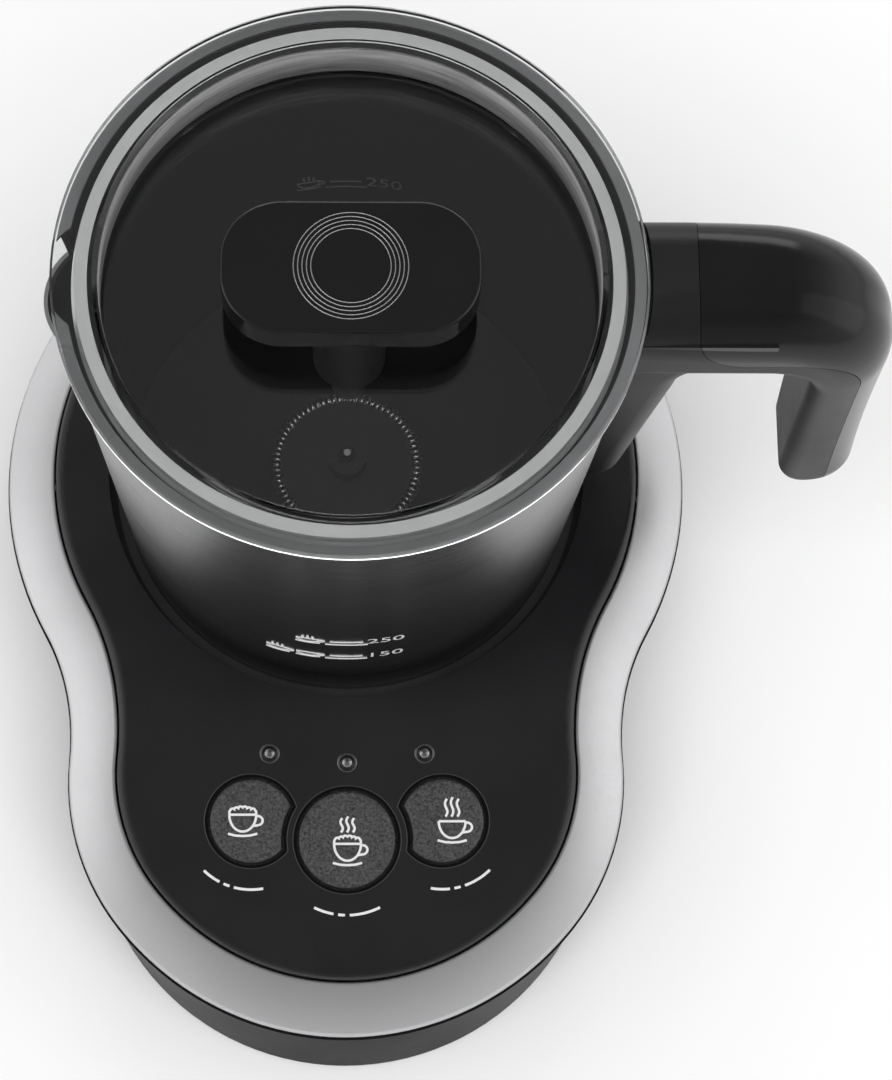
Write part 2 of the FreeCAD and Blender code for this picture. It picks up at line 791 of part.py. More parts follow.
def make_base_hardware():
    """Rubber feet, screws and the cord inlet bush."""
    pads = []
    screws = []
    for index, (x, y) in enumerate([(-46, 20), (46, 20), (-36, -86), (36, -86), (0, 0)]):
        pads.append(cylinder("FootPad%d" % index, size("foot_pad_radius"), size("plate_bottom"),
                             at(x, y, 0)))
    node(group("base_feet", pads), "base_feet")
    low = SIZES["plate_bottom"]
    for index, (x, y) in enumerate(BOSS_SPOTS):
        head = cylinder("ScrewHead%d" % index, 2.8, 1.3, at(x, y, low - 1.3))
        shank = cylinder("ScrewShank%d" % index, 1.5, 12.0, at(x, y, low - 1.0))
        slot = box("ScrewSlot%d" % index, 4.0, 0.7, 0.6, at(x, y, low - 1.4))
        screws.append(cut("Screw%d" % index, fuse("ScrewParts%d" % index, [head, shank]), slot))
    node(group("base_screws", screws), "base_screws")
    back = Rotation(Vector(1, 0, 0), -90)
    sleeve = cylinder("InletSleeve", 5.0, 8.6, at(0, 67.6, 13, back))
    outer = cylinder("InletOuter", 6.8, 1.6, at(0, 74.9, 13, back))
    inner = cylinder("InletInner", 6.8, 1.6, at(0, 67.6, 13, back))
    bore = cylinder("InletBore", 3.2, 14, at(0, 65, 13, back))
    node(cut("cord_inlet", fuse("InletParts", [sleeve, outer, inner]), bore), "cord_inlet")


# ---------------------------------------------------------------- jug


def jug_radius(z):
    """Outside radius of the jug's tapered wall at a height."""
    low = SIZES["jug_foot_height"]
    share = (z - low) / (SIZES["rim_height"] - low)
    return SIZES["jug_foot_radius"] + share * (SIZES["jug_top_radius"] - SIZES["jug_foot_radius"])


def jug_cone(name, inset, low, high):
    """Solid tapered body of the jug between two heights, inset from its outside."""
    return cone(name, jug_radius(low) - inset, jug_radius(high) - inset, high - low, at(0, 0, low))


def spout_cone(name, inset, open_top):
    """Solid beak of the spout, inset from its outside and run up past the rim when open."""
    low = SIZES["spout_low_height"]
    high = SIZES["spout_height"]
    parts = [cone(name + "Beak", size("spout_low_radius") - inset, size("spout_radius") - inset,
                  high - low, at(-SIZES["spout_x"], 0, low))]
    if open_top:
        parts.append(cylinder(name + "Mouth", size("spout_radius") - inset, 30.0,
                              at(-SIZES["spout_x"], 0, high)))
        return fuse(name, parts)
    return parts[0]


def make_jug_shell():
    """Brushed outer shell of the jug: tapered wall, turned rim and spout."""
    rim = SIZES["rim_height"]
    thick = SIZES["rim_thickness"]
    wall = SIZES["shell_wall"]
    low = SIZES["jug_foot_height"]
    outside = jug_cone("ShellOutside", 0, low, rim)
    flange = cylinder("ShellRim", size("rim_radius"), thick, at(0, 0, rim - thick))
    body = fuse("ShellBody", [outside, flange, spout_cone("ShellSpout", 0, False)])
    inside = jug_cone("ShellInside", wall, low - 1, rim - thick)
    mouth = cylinder("ShellMouth", jug_radius(rim) - wall - SIZES["liner_wall"] - 0.05, 5.0,
                     at(0, 0, rim - thick - 0.5))
    hollow = fuse("ShellHollow", [inside, mouth, spout_cone("ShellSpoutInside", wall, True)])
    node(cut("jug_shell", body, hollow), "jug_shell")


def make_jug_liner():
    """Dark non-stick cup inside the shell, following its spout."""
    gap = SIZES["shell_wall"] + 0.05
    inset = gap + SIZES["liner_wall"]
    top = SIZES["rim_height"] - SIZES["rim_thickness"] - 0.05
    floor = SIZES["liner_floor_top"]
    low = floor - SIZES["liner_floor_thickness"]
    outside = jug_cone("LinerOutside", gap, low, top)
    spout_out = spout_cone("LinerSpout", gap, False)
    body = fuse("LinerBody", [outside, spout_out])
    inside = jug_cone("LinerInside", inset, floor, top + 3)
    hollow = fuse("LinerHollow", [inside, spout_cone("LinerSpoutInside", inset, True)])
    trim = cylinder("LinerTrim", size("spout_radius") - gap, 30.0,
                    at(-SIZES["spout_x"], 0, SIZES["spout_height"]))
    node(cut("jug_liner", cut("LinerCup", body, hollow), trim), "jug_liner")


def make_jug_bottom():
    """Heat disc, bottom cap and the pin that the whisk turns on."""
    liner_under = SIZES["liner_floor_top"] - SIZES["liner_floor_thickness"]
    node(cylinder("jug_heat_disc", 44.0, liner_under - 0.05 - 42.9, at(0, 0, 42.9)), "jug_heat_disc")
    under = SIZES["jug_underside"]
    foot = size("jug_foot_radius")
    node(revolved("jug_bottom_cap", [
        (0, under), (foot - 1.0, under), (foot, under + 1.0), (foot, 42.85), (foot - 1.1, 42.85),
        (foot - 1.1, 43.95), (44.3, 43.95), (44.3, 42.85), (0, 42.85),
    ]), "jug_bottom_cap")
    floor = SIZES["liner_floor_top"]
    pin = cylinder("PinShaft", size("whisk_pin_radius"), 9.0, at(0, 0, floor))
    tip = cone("PinTip", size("whisk_pin_radius"), 0.8, 1.5, at(0, 0, floor + 9.0))
    node(fuse("whisk_pin", [pin, tip]), "whisk_pin")


def rounded_chain(corners):
    """Closed wire in a plane through (point, corner radius) pairs, with each corner rounded."""
    count = len(corners)
    edges = []
    joints = []
    for index, (corner, radius) in enumerate(corners):
        before = (corners[index - 1][0] - corner).normalize()
        after = (corners[(index + 1) % count][0] - corner).normalize()
        if radius == 0:
            joints.append((corner, corner, None))
            continue
        half = before.getAngle(after) / 2
        reach = radius / math.tan(half)
        bisector = (before + after).normalize()
        middle = corner + bisector * (radius / math.sin(half) - radius)
        joints.append((corner + before * reach, corner + after * reach, middle))
    for index, (start, end, middle) in enumerate(joints):
        if middle is not None:
            edges.append(Part.Arc(start, middle, end).toShape())
        following = joints[(index + 1) % count][0]
        if (following - end).Length > 1e-6:
            edges.append(Part.makeLine(end, following))
    return Part.Wire(edges)


def side_view(corners, half_width):
    """Solid with a rounded outline in the XZ plane, centred on y = 0."""
    placed = [(Vector(x, -half_width, z), radius) for x, z, radius in corners]
    return Part.Face(rounded_chain(placed)).extrude(Vector(0, 2 * half_width, 0))


def front_view(corners, reach):
    """Solid with a rounded outline in the YZ plane, from x = 0 out to the reach."""
    placed = [(Vector(0, y, z), radius) for y, z, radius in corners]
    return Part.Face(rounded_chain(placed)).extrude(Vector(reach, 0, 0))


def round_sides(name, shape, radius_at):
    """Round the edges of the faces that look along Y. The test gives an edge's radius from a point
    on it, or zero to leave the edge sharp."""
    blank = DOC.addObject("Part::Feature", name + "Blank")
    blank.Shape = shape
    found = {}
    for face in shape.Faces:
        u_low, u_high, v_low, v_high = face.ParameterRange
        if abs(face.normalAt((u_low + u_high) / 2, (v_low + v_high) / 2).y) > 0.9:
            for edge in face.Edges:
                found[edge.hashCode()] = found.get(edge.hashCode(), 0) + 1
    choices = []
    for index, edge in enumerate(shape.Edges):
        if found.get(edge.hashCode(), 0) != 1:
            continue
        share = (edge.LastParameter - edge.FirstParameter) * 0.001
        radii = [radius_at(edge.valueAt(at_end)) for at_end in
                 (edge.FirstParameter + share, edge.LastParameter - share)]
        if min(radii) > 0:
            choices.append((index + 1, radii[0], radii[1]))
    rounded = DOC.addObject("Part::Fillet", name)
    rounded.Base = blank
    rounded.Edges = choices
    DOC.recompute()
    return rounded.Shape


def fraction(value, low, high):
    """How far a value is from low to high, from 0 to 1."""
    return min(1.0, max(0.0, (value - low) / (high - low)))


def arm_and_grip():
    """Arm leaving the jug, the outer corner, and the grip with its free lower end."""
    top = SIZES["handle_top"]
    reach = SIZES["handle_reach"]
    half = SIZES["handle_half_width"]
    foot = 62.6
    bend = 27.0
    corner = foot + 9.5
    inner_r, outer_r, bend_r = 3.8, 8.0, 12.0
    side = side_view([
        (44.0, top, 0), (reach, top, bend), (reach + 0.6, foot, 9.2), (reach - 15.4, foot, 6.3),
        (reach - 16.4, top - 20.0, 10.4), (44.0, top - 20.0, 0),
    ], 30.0)
    taper = front_view([
        (-half, top + 5.0, 0), (-half, 136.0, 260.0), (-9.3, foot - 5.0, 0), (9.3, foot - 5.0, 0),
        (half, 136.0, 260.0), (half, top + 5.0, 0),
    ], reach + 20.0)

    def radius_at(point):
        if point.x < 44.01:
            return 0
        if point.z < corner:
            return inner_r + (outer_r - inner_r) * fraction(point.x, reach - 15.4, reach + 0.5) ** 2
        if point.z > top - 10.0 or point.x > reach - 8.0:
            on_bend = fraction(point.x, reach - bend, reach)
            on_grip = fraction(point.z, corner, top - bend)
            return outer_r + (bend_r - outer_r) * (on_bend if point.z > top - bend else on_grip)
        return inner_r

    return round_sides("HandleArm", side.common(taper), radius_at)


def bracket_rib():
    """Bracket down the jug's side, which turns out into the underside of the arm."""
    high = SIZES["handle_top"] - 19.4
    end = 84.0
    half = SIZES["handle_half_width"] - 0.8
    side = side_view([
        (44.0, 60.6, 0), (59.2, 60.6, 8.4), (67.8, high, 10.0), (end, high, 0),
        (end, high + 14.0, 0), (44.0, high + 14.0, 0),
    ], 30.0)
    taper = front_view([
        (-half, high + 20.0, 0), (-half, 128.0, 150.0), (-7.8, 58.0, 0), (7.8, 58.0, 0),
        (half, 128.0, 150.0), (half, high + 20.0, 0),
    ], end + 10.0)

    def radius_at(point):
        at_end = point.x < 44.01 or point.x > end - 0.01
        return 0 if at_end or point.z > high + 13.0 else 5.4

    return round_sides("HandleBracket", side.common(taper), radius_at)


def make_handle():
    """Handle core with the inner side of the grip, the cover over its outside, and fixings."""
    top = SIZES["handle_top"]
    reach = SIZES["handle_reach"]
    blank = arm_and_grip().fuse(bracket_rib())
    jug = Part.makeCone(jug_radius(40) + 0.08, jug_radius(160) + 0.08, 120, Vector(0, 0, 40))
    rim_gap = Vector(0, 0, SIZES["rim_height"] - 1.2)
    under_rim = Part.makeCylinder(SIZES["lid_radius"] + 0.6, 10, rim_gap)
    blank = blank.cut(jug).cut(under_rim)

    def outside_seam(step):
        return side_view([
            (67.6 - step, top + 10, 0), (69.2 - step, 143.0 - step, 10.0 + step),
            (103.0 - step, 143.0 - step, 14.0), (104.6 - step, 50.0, 0),
            (reach + 12, 50.0, 0), (reach + 12, top + 10, 0),
        ], 20.0)

    screw_x = 82.0
    bore = Part.makeCylinder(1.7, 30, Vector(screw_x, 0, 128))
    recess = Part.makeCylinder(3.4, 4.0, Vector(screw_x, 0, 134.0))
    core = blank.cut(outside_seam(0.12)).cut(bore).cut(recess)
    stud_holes = [Part.makeCylinder(2.1, 6.0, Vector(jug_radius(z) - 0.5, 0, z), Vector(1, 0, 0))
                  for z in STUD_HEIGHTS]
    for hole in stud_holes:
        core = core.cut(hole)
    pilot = Part.makeCylinder(1.3, 8.0, Vector(screw_x, 0, 143.0))
    cover = blank.common(outside_seam(0)).cut(pilot)
    coded("handle_core", core)
    coded("handle_cover", cover)
    head = Part.makeCylinder(3.1, 2.0, Vector(screw_x, 0, 136.0))
    shank = Part.makeCylinder(1.25, 13.0, Vector(screw_x, 0, 137.0))
    slot = Part.makeBox(5.0, 0.8, 0.8, Vector(screw_x - 2.5, -0.4, 136.0))
    coded("handle_screw", head.fuse(shank).cut(slot))
    studs = [Part.makeCylinder(2.0, 5.0, Vector(jug_radius(z) + 0.2, 0, z), Vector(1, 0, 0))
             for z in STUD_HEIGHTS]
    coded("handle_studs", Part.makeCompound(studs))


# ---------------------------------------------------------------- whisk


def make_whisk():
    """Whisk hub with a rim groove, the spring ring that sits in it, and the hub's magnets."""
    ring_r = SIZES["whisk_ring_radius"]
    coil_r = SIZES["whisk_coil_radius"]
    mid = SIZES["whisk_centre_height"]
    low = SIZES["liner_floor_top"] + 0.4
    disc = Part.makeCylinder(ring_r, 3.0, Vector(0, 0, low))
    boss = Part.makeCylinder(4.2, 7.0, Vector(0, 0, low))
    bore = Part.makeCylinder(SIZES["whisk_pin_radius"] + 0.06, 20, Vector(0, 0, low - 1))
    groove = Part.makeTorus(ring_r, coil_r + 0.03, Vector(0, 0, mid))
    pockets = []
    magnets = []
    for turn in range(2):
        x = 8.6 * math.cos(math.pi * turn)
        pockets.append(Part.makeCylinder(3.05, 2.05, Vector(x, 0, low)))
        magnets.append(Part.makeCylinder(3.0, 2.0, Vector(x, 0, low)))
    hub = disc.fuse(boss).removeSplitter().cut(bore).cut(groove)
    for hole in pockets:
        hub = hub.cut(hole)
    coded("whisk_hub", hub)
    ring = DOC.addObject("Part::Torus", "whisk_ring")
    bind(ring, "Radius1", size("whisk_ring_radius"))
    bind(ring, "Radius2", size("whisk_coil_radius"))
    ring.Placement = at(0, 0, mid)
    node(ring, "whisk_ring")
    coded("whisk_magnets", Part.makeCompound(magnets))


# ---------------------------------------------------------------- lid


def make_lid():
    """Clear lid with its recess, and the gasket round its plug."""
    rim = size("lid_radius")
    top = size("lid_top")
    under = top - size("lid_flange_thickness")
    well = size("lid_recess_radius")
    plug = well + size("lid_wall")
    floor = size("lid_recess_floor")
    bottom = floor - size("lid_wall")
    node(revolved("lid_body", [
        (4.15, bottom), (plug, bottom), (plug, 148.6), (plug + 1.6, 149.0), (plug + 1.6, 150.0),
        (plug, 150.0), (plug, under), (rim - 0.4, under), (rim, under + 0.4), (rim, top - 0.5),
        (rim - 0.5, top), (well + 1.0, top), (well, top - 1.0), (well, floor), (4.15, floor),
    ]), "lid_body")
    seal = size("gasket_radius")
    node(revolved("lid_gasket", [
        (plug + 0.05, 150.1), (seal + 0.2, 150.1), (seal + 0.7, 151.0), (seal, 152.0),
        (seal, under - 0.15),
        (plug + 0.05, under - 0.15),
    ]), "lid_gasket")


def make_knob():
    """Glossy knob plate with fine rings on top, its post, the post below the lid, and the screw."""
    body = new_body("knob_plate")
    thick = SIZES["knob_thickness"]
    low = SIZES["knob_top"] - thick
    outline = sketch_on(body, "KnobOutline", "XY_Plane", at(0, 0, low))
    half_x = SIZES["knob_length"] / 2
    half_y = SIZES["knob_depth"] / 2
    corner = SIZES["knob_corner"]
    quarter = [(1, 1, 0), (-1, 1, 90), (-1, -1, 180), (1, -1, 270)]
    spots = []
    for sx, sy, turn in quarter:
        centre = Vector(sx * (half_x - corner), sy * (half_y - corner), 0)
        start = math.radians(turn)
        circle = Part.Circle(centre, Vector(0, 0, 1), corner)
        spots.append((circle, start, start + math.pi / 2))
    index = 0
    for step, (circle, start, end) in enumerate(spots):
        following = spots[(step + 1) % 4]
        outline.addGeometry(Part.ArcOfCircle(circle, start, end), False)
        line = Part.LineSegment(circle.value(end), following[0].value(following[1]))
        outline.addGeometry(line, False)
        for part in (index, index + 1):
            outline.addConstraint(Sketcher.Constraint("Block", part))
        index += 2
    pad(body, outline, size("knob_thickness"))
    DOC.recompute()
    fillet(body, edges_where(body.Shape, lambda p, e: abs(p.z - SIZES["knob_top"]) < 0.01), 0.7)
    rings = sketch_on(body, "KnobRings", "XY_Plane", at(0, 0, SIZES["knob_top"] - 0.15))
    for turn in range(5):
        radius = 7.6 + 0.85 * turn
        add_circle(rings, 0, 0, radius)
        add_circle(rings, 0, 0, radius + 0.2)
    feature = body.newObject("PartDesign::Pocket", "KnobRingGrooves")
    feature.Profile = rings
    feature.Type = "Length"
    feature.Length = 1.0
    feature.Reversed = True
    body.Tip = feature
    thread = sketch_on(body, "KnobThread", "XY_Plane", at(0, 0, low))
    add_circle(thread, 0, 0, 1.55)
    hole = body.newObject("PartDesign::Pocket", "KnobThreadHole")
    hole.Profile = thread
    hole.Type = "Length"
    hole.Length = 5.0
    hole.Reversed = True
    body.Tip = hole
    node(body, "knob_plate")
    floor = SIZES["lid_recess_floor"]
    post = size("post_radius")
    node(revolved("knob_post", [
        (1.7, floor + 0.02), (post, floor + 0.02), (post, low), (1.7, low),
    ]), "knob_post")
    under = floor - SIZES["lid_wall"]
    foot = SIZES["post_bottom"]
    node(revolved("spare_whisk_post", [
        (0, foot - 16.5), (2.4, foot - 16.5), (3.5, foot - 14.5), (3.7, foot), (post - 1.6, foot),
        (post, foot + 1.8), (post + 0.1, under - 0.02), (4.05, under - 0.02), (4.05, floor - 0.1),
        (1.7, floor - 0.1), (1.7, under - 8.0), (0, under - 8.0),
    ]), "spare_whisk_post")
    shank = cylinder("KnobScrewShank", 1.5, 18.5, at(0, 0, under - 7.9))
    node(shank, "knob_screw")


# ---------------------------------------------------------------- check and export


def export_all():
    """Check each sub-part and write it to its own file."""
    DOC.recompute()
    problems = []
    for obj in DOC.Objects:
        if "Invalid" in obj.State or "Error" in obj.State:
            problems.append(obj.Name + ": " + ", ".join(obj.State))
    for obj in NODES:
        shape = obj.Shape
        if shape.isNull() or not shape.isValid():
            problems.append(obj.Label + ": shape is null or invalid")
    if problems:
        raise RuntimeError("; ".join(problems))
    os.makedirs("parts", exist_ok=True)
    for obj in NODES:
        obj.Shape.exportStep("parts/" + obj.Label + ".step")
        print("%-20s solids %d volume %.0f" % (obj.Label, len(obj.Shape.Solids), obj.Shape.Volume))


make_sheet()
make_housing()
make_bottom_plate()
make_top_cover()
make_trim_band()
make_jug_seat()
make_heating()
make_drive()
make_controls()
make_base_hardware()
make_jug_shell()
make_jug_liner()
make_jug_bottom()
make_handle()
make_whisk()
make_lid()
make_knob()
export_all()
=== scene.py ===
import math

import bpy
from mathutils import Matrix, Vector


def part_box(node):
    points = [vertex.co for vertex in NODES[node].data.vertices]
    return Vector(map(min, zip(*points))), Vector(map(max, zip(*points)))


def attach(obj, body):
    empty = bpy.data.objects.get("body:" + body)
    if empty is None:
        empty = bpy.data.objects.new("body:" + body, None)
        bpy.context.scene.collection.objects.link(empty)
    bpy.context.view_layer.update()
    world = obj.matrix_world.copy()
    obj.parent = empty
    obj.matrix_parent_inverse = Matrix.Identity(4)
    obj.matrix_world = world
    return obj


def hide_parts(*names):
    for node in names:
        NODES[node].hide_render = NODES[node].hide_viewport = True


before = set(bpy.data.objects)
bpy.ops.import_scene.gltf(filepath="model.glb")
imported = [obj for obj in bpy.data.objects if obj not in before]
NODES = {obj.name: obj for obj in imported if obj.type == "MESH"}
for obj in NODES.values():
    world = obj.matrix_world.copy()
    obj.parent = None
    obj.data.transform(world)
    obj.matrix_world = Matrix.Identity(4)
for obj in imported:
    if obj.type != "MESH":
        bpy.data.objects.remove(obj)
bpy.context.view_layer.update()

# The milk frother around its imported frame: materials for the CAD nodes, and the fine pieces that
# the CAD only stands in for. Lengths are metres in the CAD's own frame, front towards -Y.

MM = 0.001

# Driving dimensions, in millimetres unless said otherwise
SLOPE = math.radians(12.0)  # tilt of the control panel
PANEL = Matrix.Translation((0, -84.0 * MM, 39.008 * MM)) @ Matrix.Rotation(SLOPE, 4, "X")
DECK_TOP = 46.0
DECK_BEND_Y = -42.0
DECK_BEND_RADIUS = 86.6
BAND_WIDTH = 10.5
BAND_INNER_DROP = 1.9
BAND_OUTER_DROP = 8.1
BAND_THICKNESS = 1.2
BAND_CROWN = 0.7
BAND_STEPS = 14
OUTLINE_COUNTS = (120, 24, 40, 60, 40, 24)  # points on the arcs of the base's outline
BUTTON_TOP = 0.9
SIDE_X = 20.9
SIDE_Y = 4.1
SIDE_RADIUS = 9.1
MIDDLE_RADIUS = 10.6
BITE_RADIUS = 14.4
GROOVE = (0.55, 1.25)  # inner and outer edge of a button's groove, beyond the button
ICON_STROKE = 0.27
LENS_SPOTS = ((-17.0, 18.9), (0.0, 16.9), (17.0, 18.9))
KNOB_RINGS = (7.8, 8.65, 9.5, 10.35, 11.2)
COIL_WIRE = 0.27
COIL_TURNS = 76
COIL_STEPS = 14


# Materials

def new_material(name):
    """Empty material with its node tree and its Principled shader."""
    material = bpy.data.materials.new(name)
    material.use_nodes = True
    tree = material.node_tree
    tree.nodes.clear()
    shader = tree.nodes.new("ShaderNodeBsdfPrincipled")
    output = tree.nodes.new("ShaderNodeOutputMaterial")
    tree.links.new(shader.outputs["BSDF"], output.inputs["Surface"])
    return material, tree, shader


def set_inputs(shader, **values):
    for name, value in values.items():
        shader.inputs[name.replace("_", " ")].default_value = value


def stretched(tree, scale):
    """Object coordinates, in metres, times a scale for each axis."""
    place = tree.nodes.new("ShaderNodeTexCoord")
    mapping = tree.nodes.new("ShaderNodeMapping")
    mapping.inputs["Scale"].default_value = scale
    tree.links.new(place.outputs["Object"], mapping.inputs["Vector"])
    return mapping.outputs["Vector"]


def noise(tree, vector, detail=3.0, rough=0.55):
    texture = tree.nodes.new("ShaderNodeTexNoise")
    texture.inputs["Scale"].default_value = 1.0
    texture.inputs["Detail"].default_value = detail
    texture.inputs["Roughness"].default_value = rough
    tree.links.new(vector, texture.inputs["Vector"])
    return texture.outputs["Fac"]


def ranged(tree, value, low, high):
    """The value moved from 0.3..0.7, where noise mostly lies, to low..high."""
    node = tree.nodes.new("ShaderNodeMapRange")
    node.inputs["From Min"].default_value = 0.3
    node.inputs["From Max"].default_value = 0.7
    node.inputs["To Min"].default_value = low
    node.inputs["To Max"].default_value = high
    tree.links.new(value, node.inputs["Value"])
    return node.outputs["Result"]


def tinted(tree, value, dark, light):
    ramp = tree.nodes.new("ShaderNodeValToRGB")
    ramp.color_ramp.elements[0].position = 0.3
    ramp.color_ramp.elements[0].color = (*dark, 1.0)
    ramp.color_ramp.elements[1].position = 0.7
    ramp.color_ramp.elements[1].color = (*light, 1.0)
    tree.links.new(value, ramp.inputs["Fac"])
    return ramp.outputs["Color"]


def bumped(tree, shader, height, strength, distance):
    bump = tree.nodes.new("ShaderNodeBump")
    bump.inputs["Strength"].default_value = strength
    bump.inputs["Distance"].default_value = distance
    tree.links.new(height, bump.inputs["Height"])
    tree.links.new(bump.outputs["Normal"], shader.inputs["Normal"])


def plastic(name, colour, roughness, grain=2500.0, depth=0.00002, spread=0.2, specular=0.5,
            strength=0.25, speckled=False):
    """Moulded plastic or rubber: fine grain in the bump, slow wear in colour and roughness. Where
    it is speckled, the colour follows the grain."""
    material, tree, shader = new_material(name)
    fine = noise(tree, stretched(tree, (grain, grain, grain)), 2.0)
    slow = noise(tree, stretched(tree, (38.0, 38.0, 38.0)), 4.0)
    dark = tuple(channel * (1.0 - spread) for channel in colour)
    light = tuple(channel * (1.0 + spread) for channel in colour)
    colours = tinted(tree, fine if speckled else slow, dark, light)
    tree.links.new(colours, shader.inputs["Base Color"])
    tree.links.new(ranged(tree, slow, roughness * 0.88, roughness * 1.12), shader.inputs["Roughness"])
    set_inputs(shader, IOR=1.47, Specular_IOR_Level=specular)
    bumped(tree, shader, fine, strength, depth)
    return material


def metal(name, colour, roughness, scale, depth=0.00001, spread=0.06, strength=0.3, brushed=0.0):
    """Metal with its grain stretched along the directions whose scale is small."""
    material, tree, shader = new_material(name)
    grain = noise(tree, stretched(tree, scale), 3.0)
    slow = noise(tree, stretched(tree, (30.0, 30.0, 30.0)), 3.0)
    dark = tuple(channel * (1.0 - spread) for channel in colour)
    light = tuple(min(1.0, channel * (1.0 + spread)) for channel in colour)
    tree.links.new(tinted(tree, slow, dark, light), shader.inputs["Base Color"])
    tree.links.new(ranged(tree, grain, roughness * 0.8, roughness * 1.2), shader.inputs["Roughness"])
    set_inputs(shader, Metallic=1.0)
    if brushed:
        tangent = tree.nodes.new("ShaderNodeTangent")
        tangent.direction_type = "RADIAL"
        tangent.axis = "Z"
        tree.links.new(tangent.outputs["Tangent"], shader.inputs["Tangent"])
        set_inputs(shader, Anisotropic=brushed)
    bumped(tree, shader, grain, strength, depth)
    return material


def clear(name, tint, roughness, ior=1.49):
    """Clear polished plastic with faint flow lines."""
    material, tree, shader = new_material(name)
    slow = noise(tree, stretched(tree, (60.0, 60.0, 60.0)), 2.0)
    tree.links.new(ranged(tree, slow, roughness * 0.6, roughness * 1.6), shader.inputs["Roughness"])
    set_inputs(shader, Base_Color=(*tint, 1.0), IOR=ior, Transmission_Weight=1.0)
    bumped(tree, shader, slow, 0.04, 0.00005)
    return material


def printed(name, colour, roughness=0.5):
    material, tree, shader = new_material(name)
    worn = noise(tree, stretched(tree, (900.0, 900.0, 900.0)), 3.0)
    dark = tuple(channel * 0.9 for channel in colour)
    tree.links.new(tinted(tree, worn, dark, colour), shader.inputs["Base Color"])
    tree.links.new(ranged(tree, worn, roughness * 0.9, roughness * 1.1), shader.inputs["Roughness"])
    bumped(tree, shader, worn, 0.1, 0.00001)
    return material


ROUND = (14.0, 14.0, 5200.0)
EVEN = (2600.0, 2600.0, 2600.0)
MATERIALS = {
    "base_black_plastic": plastic("base_black_plastic", (0.006, 0.006, 0.0065), 0.42, specular=0.12),
    "inner_plastic": plastic("inner_plastic", (0.03, 0.03, 0.031), 0.5),
    "cover_black": plastic("cover_black", (0.008, 0.008, 0.009), 0.28, depth=0.00001),
    "satin_silver": metal("satin_silver", (0.67, 0.67, 0.68), 0.44, EVEN, 0.00001, 0.03, 0.35),
    "sensor_steel": metal("sensor_steel", (0.6, 0.6, 0.6), 0.25, EVEN),
    "copper": metal("copper", (0.72, 0.38, 0.2), 0.35, EVEN),
    "motor_steel": metal("motor_steel", (0.5, 0.51, 0.52), 0.4, ROUND),
    "magnet_nickel": metal("magnet_nickel", (0.6, 0.6, 0.6), 0.2, EVEN),
    "board_green": plastic("board_green", (0.02, 0.16, 0.06), 0.35),
    "switch_black": plastic("switch_black", (0.03, 0.03, 0.03), 0.5),
    "led_clear": clear("led_clear", (0.85, 0.85, 0.87), 0.15),
    "lens_clear": metal("lens_clear", (0.32, 0.32, 0.33), 0.1, EVEN, 0.000002),
    "button_rubber": plastic("button_rubber", (0.05, 0.05, 0.051), 0.42, 1900.0, 0.00012, 0.7,
                             strength=1.0, speckled=True),
    "foot_rubber": plastic("foot_rubber", (0.02, 0.02, 0.02), 0.7),
    "screw_steel": metal("screw_steel", (0.5, 0.5, 0.5), 0.35, EVEN),
    "jug_steel": metal("jug_steel", (0.33, 0.33, 0.335), 0.32, ROUND, 0.000012, 0.05, 0.3, 0.7),
    "nonstick": plastic("nonstick", (0.012, 0.012, 0.0125), 0.4, 3000.0, 0.000003, specular=0.25),
    "handle_satin": plastic("handle_satin", (0.008, 0.008, 0.0085), 0.42, specular=0.35),
    "handle_gloss": plastic("handle_gloss", (0.004, 0.004, 0.0045), 0.2, depth=0.000004, specular=0.4),
    "whisk_black": plastic("whisk_black", (0.012, 0.012, 0.012), 0.45),
    "whisk_wire": metal("whisk_wire", (0.85, 0.85, 0.85), 0.25, EVEN),
    "clear_plastic": clear("clear_plastic", (0.93, 0.94, 0.94), 0.02),
    "gasket_grey": plastic("gasket_grey", (0.62, 0.62, 0.62), 0.5, 1500.0, 0.00002, 0.05),
    "knob_gloss": plastic("knob_gloss", (0.004, 0.004, 0.004), 0.09, depth=0.000003),
    "post_grey": plastic("post_grey", (0.11, 0.11, 0.11), 0.35),
}
PRINT_WHITE = printed("print_white", (0.82, 0.82, 0.82))
PRINT_GREY = printed("print_grey", (0.2, 0.2, 0.2))
# Flat black strips where the buttons' grooves lie in shade: painted shade.
GROOVE_PAINTED_SHADE = plastic("groove_black", (0.002, 0.002, 0.002), 0.6, specular=0.15)
LENS_BLACK = metal("lens_ring", (0.2, 0.2, 0.2), 0.15, EVEN, 0.000002)
EDGE_BRIGHT = metal("edge_bright", (0.55, 0.55, 0.55), 0.25, EVEN)
# A thin grey metal line at the buttons' groove edges: a painted highlight on the bevel.
EDGE_PAINTED_HIGHLIGHT = metal("edge_soft", (0.2, 0.2, 0.2), 0.2, EVEN, 0.000002)

for node in NODES.values():
    for slot in node.material_slots:
        slot.material = MATERIALS[slot.material.name.split(".")[0]]


# Pieces

def mesh_piece(name, mesh, material, body):
    """Smooth-shaded piece that rides on a body, with one material under a slot's name."""
    piece = bpy.data.objects.new(name, mesh)
    bpy.context.scene.collection.objects.link(piece)
    mesh.materials.clear()
    mesh.materials.append(material)
    for polygon in mesh.polygons:
        polygon.use_smooth = True
    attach(piece, body)
    return piece


